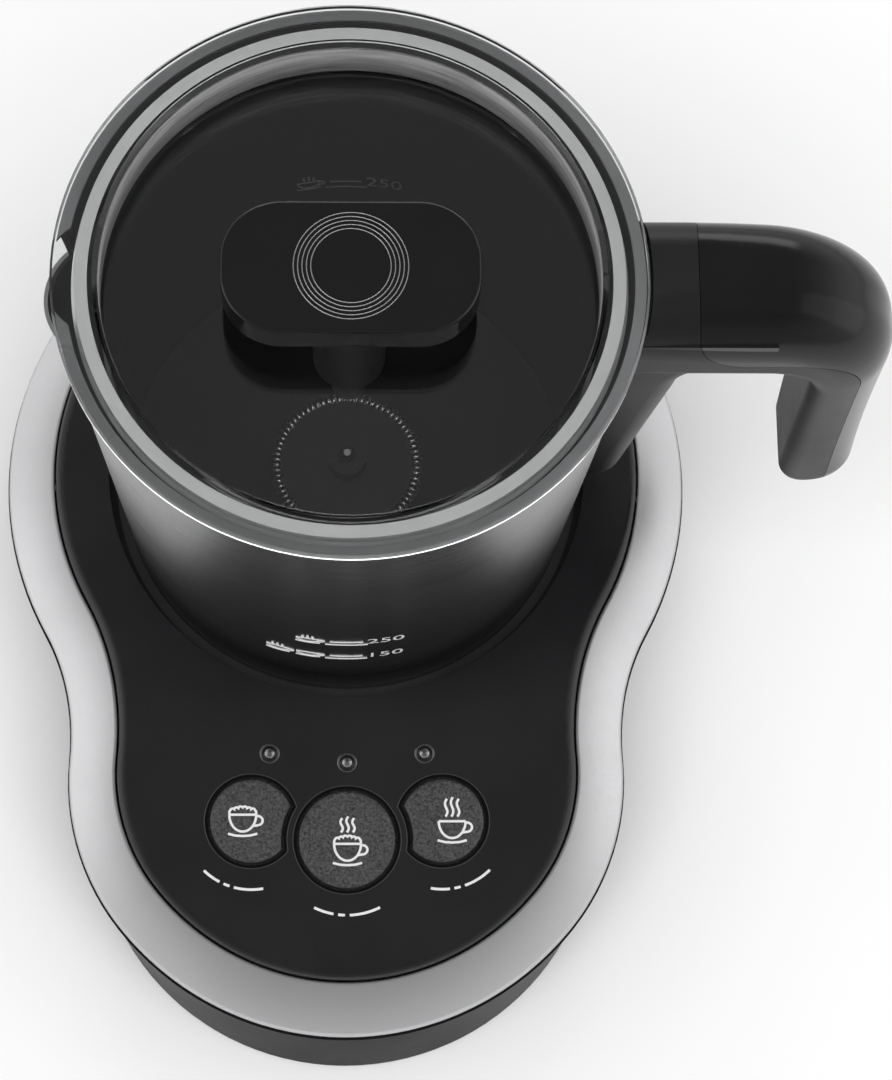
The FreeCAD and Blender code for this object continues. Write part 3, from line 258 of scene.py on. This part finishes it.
def curve_mesh(name, lines, radius, closed=(), sides=3):
    """Mesh of round strokes along lines of points, each line open unless its index is in closed."""
    curve = bpy.data.curves.new(name, "CURVE")
    curve.dimensions = "3D"
    curve.bevel_depth = radius
    curve.bevel_resolution = sides
    curve.use_fill_caps = True
    for index, points in enumerate(lines):
        spline = curve.splines.new("POLY")
        spline.points.add(len(points) - 1)
        for point, place in zip(spline.points, points):
            point.co = (*place, 1.0)
        spline.use_cyclic_u = index in closed
    holder = bpy.data.objects.new(name + "_curve", curve)
    bpy.context.scene.collection.objects.link(holder)
    bpy.context.view_layer.update()
    graph = bpy.context.evaluated_depsgraph_get()
    mesh = bpy.data.meshes.new_from_object(holder.evaluated_get(graph))
    bpy.data.objects.remove(holder)
    return mesh


def whisk_coil():
    """The whisk's ring as the wound spring it is."""
    low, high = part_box("whisk_ring")
    centre = (low + high) / 2
    outer = (high.x - low.x) / 2
    tube = (high.z - low.z) / 2
    ring = outer - tube
    wire = COIL_WIRE * MM
    points = []
    for step in range(COIL_TURNS * COIL_STEPS):
        round_ring = 2 * math.pi * step / (COIL_TURNS * COIL_STEPS)
        round_tube = 2 * math.pi * step / COIL_STEPS
        reach = ring + (tube - wire) * math.cos(round_tube)
        points.append(centre + Vector((reach * math.cos(round_ring), reach * math.sin(round_ring),
                                       (tube - wire) * math.sin(round_tube))))
    mesh = curve_mesh("whisk_coil", [points], wire, closed=(0,), sides=2)
    piece = mesh_piece("whisk_coil", mesh, MATERIALS["whisk_wire"], "whisk")
    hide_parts("whisk_ring")


def crown_arcs(inset):
    """Arcs (centre, radius, first angle, last angle) of the base's widest outline in millimetres,
    moved inward by inset, from the right waist round the back and the front."""
    waist = Vector((110.5, -60.0))
    cheek = Vector((11.4, -69.0))
    nose = Vector((0.0, -59.7))
    cheek_radius = 50.0
    waist_radius = (waist - cheek).length - cheek_radius
    nose_radius = (nose - cheek).length + cheek_radius
    back = math.atan2(waist.y, waist.x)
    side = math.atan2(waist.y - cheek.y, waist.x - cheek.x)
    front = math.atan2(cheek.y - nose.y, cheek.x - nose.x)
    turn = 2 * math.pi
    return [
        (Vector((0.0, 0.0)), waist.length - waist_radius - inset, back, math.pi - back),
        (Vector((-waist.x, waist.y)), -waist_radius - inset, math.pi - back, math.pi - side),
        (Vector((-cheek.x, cheek.y)), cheek_radius - inset, math.pi - side, math.pi - front),
        (nose, nose_radius - inset, math.pi - front, turn + front),
        (cheek, cheek_radius - inset, turn + front, turn + side),
        (waist, -waist_radius - inset, turn + side, turn + back),
    ]


def deck_height(y):
    """Height of the base's top in millimetres: flat, a blend arc, then the panel's slope."""
    blend_end = DECK_BEND_Y - DECK_BEND_RADIUS * math.sin(SLOPE)
    if y >= DECK_BEND_Y:
        return DECK_TOP
    if y >= blend_end:
        fall = math.sqrt(DECK_BEND_RADIUS ** 2 - (y - DECK_BEND_Y) ** 2)
        return DECK_TOP - DECK_BEND_RADIUS + fall
    drop = DECK_BEND_RADIUS * (1.0 - math.cos(SLOPE))
    return DECK_TOP - drop - (blend_end - y) * math.tan(SLOPE)


def band_skin():
    """The satin band round the base with its crown fully rounded."""
    profile = []
    for step in range(BAND_STEPS + 1):
        share = step / BAND_STEPS
        drop = BAND_INNER_DROP + (BAND_OUTER_DROP - BAND_INNER_DROP) * share
        profile.append((BAND_WIDTH * (1.0 - share), drop - BAND_CROWN * 4.0 * share * (1.0 - share)))
    profile.append((0.25, BAND_OUTER_DROP + BAND_THICKNESS))
    profile.append((BAND_WIDTH, BAND_INNER_DROP + BAND_THICKNESS + 0.4))
    rings = []
    for inset, drop in profile:
        ring = []
        for (centre, radius, first, last), count in zip(crown_arcs(inset), OUTLINE_COUNTS):
            for step in range(count):
                angle = first + (last - first) * step / count
                x = centre.x + radius * math.cos(angle)
                y = centre.y + radius * math.sin(angle)
                ring.append((x * MM, y * MM, (deck_height(y) - drop) * MM))
        rings.append(ring)
    count = len(rings[0])
    corners = [corner for ring in rings for corner in ring]
    faces = []
    for row in range(len(rings)):
        after = (row + 1) % len(rings)
        for index in range(count):
            following = (index + 1) % count
            faces.append((row * count + index, after * count + index,
                          after * count + following, row * count + following))
    mesh = bpy.data.meshes.new("band_skin")
    mesh.from_pydata(corners, [], faces)
    piece = mesh_piece("band_skin", mesh, MATERIALS["satin_silver"], "base")
    for polygon in mesh.polygons[(len(rings) - 3) * count:]:
        polygon.use_smooth = False
    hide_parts("trim_band")


whisk_coil()
band_skin()


# Printed marks, small trims, and painted groove shade and edge highlights on the control panel

def arc(x, y, radius, first, last, count, squeeze=1.0):
    """Points of an arc, angles in degrees, with its height times squeeze."""
    points = []
    for step in range(count + 1):
        angle = math.radians(first + (last - first) * step / count)
        points.append((x + radius * math.cos(angle), y + squeeze * radius * math.sin(angle)))
    return points


def cup_lines(froth, steam_low, steam_high):
    """A plain cup on a saucer about the middle of its rim, in millimetres."""
    lines = [
        [(-2.95, 0.0), (2.95, 0.0)],
        arc(0.0, 0.0, 2.95, 180.0, 360.0, 16, 1.25),
        [(-3.2, -4.15), (-1.6, -4.55), (0.0, -4.65), (1.6, -4.55), (3.2, -4.15)],
        [(2.9, -0.25)] + arc(3.3, -1.3, 1.05, 80.0, -80.0, 8, 0.95) + [(2.3, -2.45)],
    ]
    if froth:
        puffs = [(-2.95, 0.0), (-2.9, 0.75)]
        for x, y in ((-2.25, 0.85), (-1.4, 1.1), (-0.5, 1.3), (0.45, 1.3), (1.35, 1.1), (2.2, 0.85)):
            puffs += arc(x, y, 0.5, 165.0, 15.0, 5)
        lines.append(puffs + [(2.9, 0.7), (2.95, 0.0)])
    if steam_high > steam_low:
        for x, extra in ((-1.45, 0.0), (-0.15, 0.35), (1.15, 0.0)):
            rise = steam_high + extra - steam_low
            wave = []
            for step in range(13):
                share = step / 12.0
                wave.append((x + 0.3 * share + 0.34 * math.sin(2 * math.pi * share),
                             steam_low + rise * share))
            lines.append(wave)
    return lines


def moved(lines, x, y, size=1.0):
    return [[(x + size * px, y + size * py) for px, py in line] for line in lines]


def panel_marks(name, lines, height, radius, material, body, closed=()):
    """Flat strokes on the panel's own plane at a height above it, all in millimetres."""
    strokes = [[(x * MM, y * MM, 0.0) for x, y in line] for line in lines]
    mesh = curve_mesh(name, strokes, radius * MM, closed)
    for vertex in mesh.vertices:
        vertex.co.z *= 0.12
    mesh.transform(PANEL @ Matrix.Translation((0, 0, height * MM)))
    return mesh_piece(name, mesh, material, body)


def button_outline(sign, grow):
    """Outline of a side button grown by some millimetres: a disc bitten by the middle button."""
    x = sign * SIDE_X
    reach = math.hypot(SIDE_X, SIDE_Y)
    toward = math.degrees(math.atan2(-SIDE_Y, -x))
    outer = SIDE_RADIUS + grow
    bite = BITE_RADIUS - grow
    half = math.degrees(math.acos((outer ** 2 + reach ** 2 - bite ** 2) / (2 * outer * reach)))
    inner = math.degrees(math.acos((bite ** 2 + reach ** 2 - outer ** 2) / (2 * bite * reach)))
    away = math.degrees(math.atan2(SIDE_Y, x))
    points = arc(x, SIDE_Y, outer, toward + half, toward + 360.0 - half, 60)
    points += arc(0.0, 0.0, bite, away + inner, away - inner, 24)[1:-1]
    for _ in range(4):
        smoother = []
        for index, (px, py) in enumerate(points):
            nx, ny = points[(index + 1) % len(points)]
            smoother += [(px * 0.75 + nx * 0.25, py * 0.75 + ny * 0.25),
                         (px * 0.25 + nx * 0.75, py * 0.25 + ny * 0.75)]
        points = smoother if len(smoother) < 700 else points
    return points


def panel_strip(name, inner, outer, height, material, body):
    """Flat ring between two outlines with the same number of points, on the panel's plane."""
    count = len(inner)
    corners = [Vector((x * MM, y * MM, height * MM)) for x, y in inner + outer]
    faces = [(index, (index + 1) % count, count + (index + 1) % count, count + index)
             for index in range(count)]
    mesh = bpy.data.meshes.new(name)
    mesh.from_pydata(corners, [], faces)
    mesh.transform(PANEL)
    return mesh_piece(name, mesh, material, body)


def button_trims():
    """Painted shade: a flat black strip round each button where its groove lies in shade, with a thin
    metal line at its outside as a painted highlight on the groove's edge.
    """
    outlines = {
        "hot": [arc(0.0, 0.0, MIDDLE_RADIUS + grow, 0.0, 360.0, 120)[:-1] for grow in GROOVE],
        "cold": [button_outline(-1, grow) for grow in GROOVE],
        "warm": [button_outline(1, grow) for grow in GROOVE],
    }
    for name, (inner, outer) in outlines.items():
        # Painted shade: a flat black strip where the groove is in shade.
        panel_strip("groove_" + name, inner, outer, 0.02, GROOVE_PAINTED_SHADE, "base")
        # Painted highlight: a thin metal line along the groove's outer edge.
        panel_marks("groove_edge_" + name, [outer], 0.03, 0.1, EDGE_PAINTED_HIGHLIGHT, "base", (0,))


def recess_sheen():
    """Painted sheen: a half-clear grey sleeve on the inner wall of the lid's recess, standing in, in
    streaks, for the light that the clear wall reflects.
    """
    material, tree, shader = new_material("recess_painted_sheen")
    sheen_streaks = noise(tree, stretched(tree, (60.0, 60.0, 900.0)), 3.0)
    # The grey streaks in the colour are painted reflection of light on the clear wall, not a frosted
    # finish.
    tree.links.new(tinted(tree, sheen_streaks, (0.3, 0.3, 0.3), (0.6, 0.6, 0.6)), shader.inputs["Base Color"])
    tree.links.new(ranged(tree, sheen_streaks, 0.25, 0.45), shader.inputs["Roughness"])
    set_inputs(shader, Alpha=0.55)
    bumped(tree, shader, sheen_streaks, 0.3, 0.00003)
    profile = [(49.3, 145.9), (49.36, 145.9), (49.36, 155.2), (49.3, 155.2)]
    turned_ring("recess_painted_sheen", profile, Matrix.Identity(4), material, "lid", 160)


def button_icons():
    """A cup on each button: frothed, frothed with steam, and plain with steam."""
    cups = (("cold", cup_lines(True, 0, 0), -22.8, 5.5), ("hot", cup_lines(True, 2.5, 5.6), 0.1, -0.9),
            ("warm", cup_lines(False, 1.0, 4.9), 23.0, 4.0))
    for name, lines, x, y in cups:
        panel_marks("icon_" + name, moved(lines, x, y), BUTTON_TOP + 0.03, ICON_STROKE, PRINT_WHITE,
                    "button_" + name)


def label_arcs():
    """Curved rows of dashes under the buttons, where the real ones are named."""
    rows = ((-SIDE_X, SIDE_Y, 14.9, 226.0, 280.0), (0.0, 0.0, 16.4, 244.0, 296.0),
            (SIDE_X, SIDE_Y, 14.9, 260.0, 314.0))
    for index, (x, y, radius, first, last) in enumerate(rows):
        lines = []
        for start, end in ((0.0, 0.3), (0.37, 0.47), (0.54, 1.0)):
            lines.append(arc(x, y, radius, first + (last - first) * start,
                             first + (last - first) * end, 10))
        panel_marks("label_dashes_%d" % index, lines, 0.03, 0.3, PRINT_WHITE, "base")


def turned_ring(name, profile, place, material, body, steps=48):
    """Ring turned from a closed profile of (radius, height) in millimetres about a placed Z axis."""
    count = len(profile)
    corners = []
    for step in range(steps):
        angle = 2 * math.pi * step / steps
        for radius, height in profile:
            corners.append((radius * math.cos(angle) * MM, radius * math.sin(angle) * MM, height * MM))
    faces = []
    for step in range(steps):
        after = (step + 1) % steps
        for index in range(count):
            following = (index + 1) % count
            faces.append((step * count + index, after * count + index,
                          after * count + following, step * count + following))
    mesh = bpy.data.meshes.new(name)
    mesh.from_pydata(corners, [], faces)
    mesh.transform(place)
    return mesh_piece(name, mesh, material, body)


def round_profile(radius, height, tube_radius, tube_height, count=10):
    profile = []
    for step in range(count):
        angle = 2 * math.pi * step / count
        profile.append((radius + tube_radius * math.cos(angle), height + tube_height * math.sin(angle)))
    return profile


def lens_bezels():
    for index, (x, y) in enumerate(LENS_SPOTS):
        place = PANEL @ Matrix.Translation((x * MM, y * MM, 0))
        turned_ring("lens_bezel_%d" % index, round_profile(1.95, 0.0, 0.28, 0.22), place, LENS_BLACK,
                    "base")


# Printed marks on the jug

def on_jug(x, z, reach, back=False):
    """Point on a cone round the jug's axis, x millimetres round from its front or back."""
    radius = reach(z)
    angle = x / radius
    side = 1 if back else -1
    return Vector((radius * math.sin(angle) * MM, side * radius * math.cos(angle) * MM, z * MM))


def shell_reach(z):
    """Radius of the jug's tapered outside at a height, in millimetres."""
    return 50.0 + (z - 42.9) * 7.4 / 111.6


def number_mesh(name, text, height):
    """Flat mesh of a number, in the same units as its height."""
    curve = bpy.data.curves.new(name, "FONT")
    curve.body = text
    curve.size = height * 1.37
    curve.align_x = "CENTER"
    curve.space_character = 1.02
    curve.offset = 0.02
    holder = bpy.data.objects.new(name + "_text", curve)
    bpy.context.scene.collection.objects.link(holder)
    bpy.context.view_layer.update()
    graph = bpy.context.evaluated_depsgraph_get()
    mesh = bpy.data.meshes.new_from_object(holder.evaluated_get(graph))
    bpy.data.objects.remove(holder)
    return mesh


def jug_marks(name, number, z, cups, reach, back, material, body):
    """A level mark: its number, the line beside it, and a small cup for each use."""
    mesh = number_mesh(name + "_number", number, 3.9)
    for vertex in mesh.vertices:
        vertex.co = on_jug(vertex.co.x + 7.9, z + vertex.co.y, reach, back)
    mesh_piece(name + "_number", mesh, material, body)
    lines = [[(-4.9 + 9.0 * step / 12, z - 0.7) for step in range(13)],
             [(-3.9 + 7.0 * step / 12, z + 1.6) for step in range(13)]]
    for index in range(cups):
        steam = (0.9, 3.0) if index == 1 or cups == 1 else (0.0, 0.0)
        cup = [[(x, y * 0.8) for x, y in line] for line in cup_lines(False, *steam)]
        lines += moved(cup, -8.6 - 6.6 * index, z + 2.4, 0.82)
    strokes = [[on_jug(x, height, reach, back) for x, height in line] for line in lines]
    mesh = curve_mesh(name + "_lines", strokes, 0.13 * MM, sides=2)
    mesh_piece(name + "_lines", mesh, material, body)


def knob_rings():
    """The fine bright rings turned into the top of the knob."""
    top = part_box("knob_plate")[1].z / MM
    for index, radius in enumerate(KNOB_RINGS):
        turned_ring("knob_ring_%d" % index, round_profile(radius, top - 0.02, 0.1, 0.05, 8),
                    Matrix.Identity(4), EDGE_BRIGHT, "lid", 128)


button_trims()
button_icons()
label_arcs()
lens_bezels()
knob_rings()
recess_sheen()
jug_marks("level_250", "250", 82.5, 1, lambda z: shell_reach(z) + 0.03, False, PRINT_WHITE,
          "jug")
jug_marks("level_150", "150", 70.0, 2, lambda z: shell_reach(z) + 0.03, False, PRINT_WHITE,
          "jug")
jug_marks("inner_250", "250", 86.0, 1, lambda z: shell_reach(z) - 1.75, True, PRINT_GREY,
          "jug")


# Camera, light and floor

def add_camera():
    data = bpy.data.cameras.new("camera")
    data.sensor_fit = "AUTO"
    data.sensor_width = 36.0
    data.lens = 116.67
    data.clip_start = 0.01
    data.clip_end = 20.0
    camera = bpy.data.objects.new("camera", data)
    bpy.context.scene.collection.objects.link(camera)
    right = Vector((0.999379, -0.010246, 0.033713))
    up = Vector((-0.001216, 0.946192, 0.323603))
    forward = Vector((0.035214, 0.323444, -0.945592))
    turn = Matrix((right, up, -forward)).transposed().to_4x4()
    camera.matrix_world = Matrix.Translation((-0.00542, -0.269985, 0.785672)) @ turn
    bpy.context.scene.camera = camera


def add_panel(name, place, target, width, height, power):
    data = bpy.data.lights.new(name, "AREA")
    data.shape = "RECTANGLE"
    data.size = width
    data.size_y = height
    data.energy = power
    light = bpy.data.objects.new(name, data)
    bpy.context.scene.collection.objects.link(light)
    light.location = place
    light.rotation_euler = (Vector(target) - Vector(place)).to_track_quat("-Z", "Y").to_euler()
    return light


def add_world():
    """Plain soft studio light: bright near the horizon, darker overhead and towards the front."""
    world = bpy.data.worlds.new("studio")
    world.use_nodes = True
    tree = world.node_tree
    tree.nodes.clear()
    place = tree.nodes.new("ShaderNodeTexCoord")
    split = tree.nodes.new("ShaderNodeSeparateXYZ")
    tree.links.new(place.outputs["Generated"], split.inputs["Vector"])
    height = tree.nodes.new("ShaderNodeValToRGB")
    height.color_ramp.elements[0].position = 0.3
    height.color_ramp.elements[0].color = (1.0, 1.0, 1.0, 1.0)
    height.color_ramp.elements[1].position = 0.8
    height.color_ramp.elements[1].color = (0.3, 0.3, 0.3, 1.0)
    tree.links.new(split.outputs["Z"], height.inputs["Fac"])
    depth = tree.nodes.new("ShaderNodeMapRange")
    depth.inputs["From Min"].default_value = -0.95
    depth.inputs["From Max"].default_value = -0.3
    depth.inputs["To Min"].default_value = 0.45
    depth.inputs["To Max"].default_value = 1.0
    tree.links.new(split.outputs["Y"], depth.inputs["Value"])
    both = tree.nodes.new("ShaderNodeVectorMath")
    both.operation = "SCALE"
    tree.links.new(height.outputs["Color"], both.inputs[0])
    tree.links.new(depth.outputs["Result"], both.inputs["Scale"])
    background = tree.nodes.new("ShaderNodeBackground")
    background.inputs["Strength"].default_value = 0.95
    output = tree.nodes.new("ShaderNodeOutputWorld")
    tree.links.new(both.outputs["Vector"], background.inputs["Color"])
    tree.links.new(background.outputs["Background"], output.inputs["Surface"])
    bpy.context.scene.world = world


def add_floor():
    mesh = bpy.data.meshes.new("floor")
    half = 3.0
    mesh.from_pydata([(-half, -half, 0), (half, -half, 0), (half, half, 0), (-half, half, 0)],
                     [], [(0, 1, 2, 3)])
    floor = bpy.data.objects.new("floor", mesh)
    bpy.context.scene.collection.objects.link(floor)
    material, _, shader = new_material("pale_floor")
    set_inputs(shader, Base_Color=(0.93, 0.93, 0.93, 1.0), Roughness=0.9, Specular_IOR_Level=0.1)
    mesh.materials.append(material)


add_camera()
add_world()
add_floor()
add_panel("softbox_left", (-0.9, -0.1, 0.55), (0, 0, 0.05), 0.7, 1.2, 1.0)
add_panel("softbox_right", (0.9, -0.1, 0.55), (0, 0, 0.05), 0.7, 1.2, 1.0)
add_panel("softbox_back", (0.1, 1.1, 0.9), (0, 0, 0.05), 1.2, 0.5, 4.0)
add_panel("ceiling", (0.0, -0.65, 1.6), (0, 0, 0), 1.8, 1.1, 20.0).visible_glossy = False
bpy.context.scene.view_settings.view_transform = "Standard"
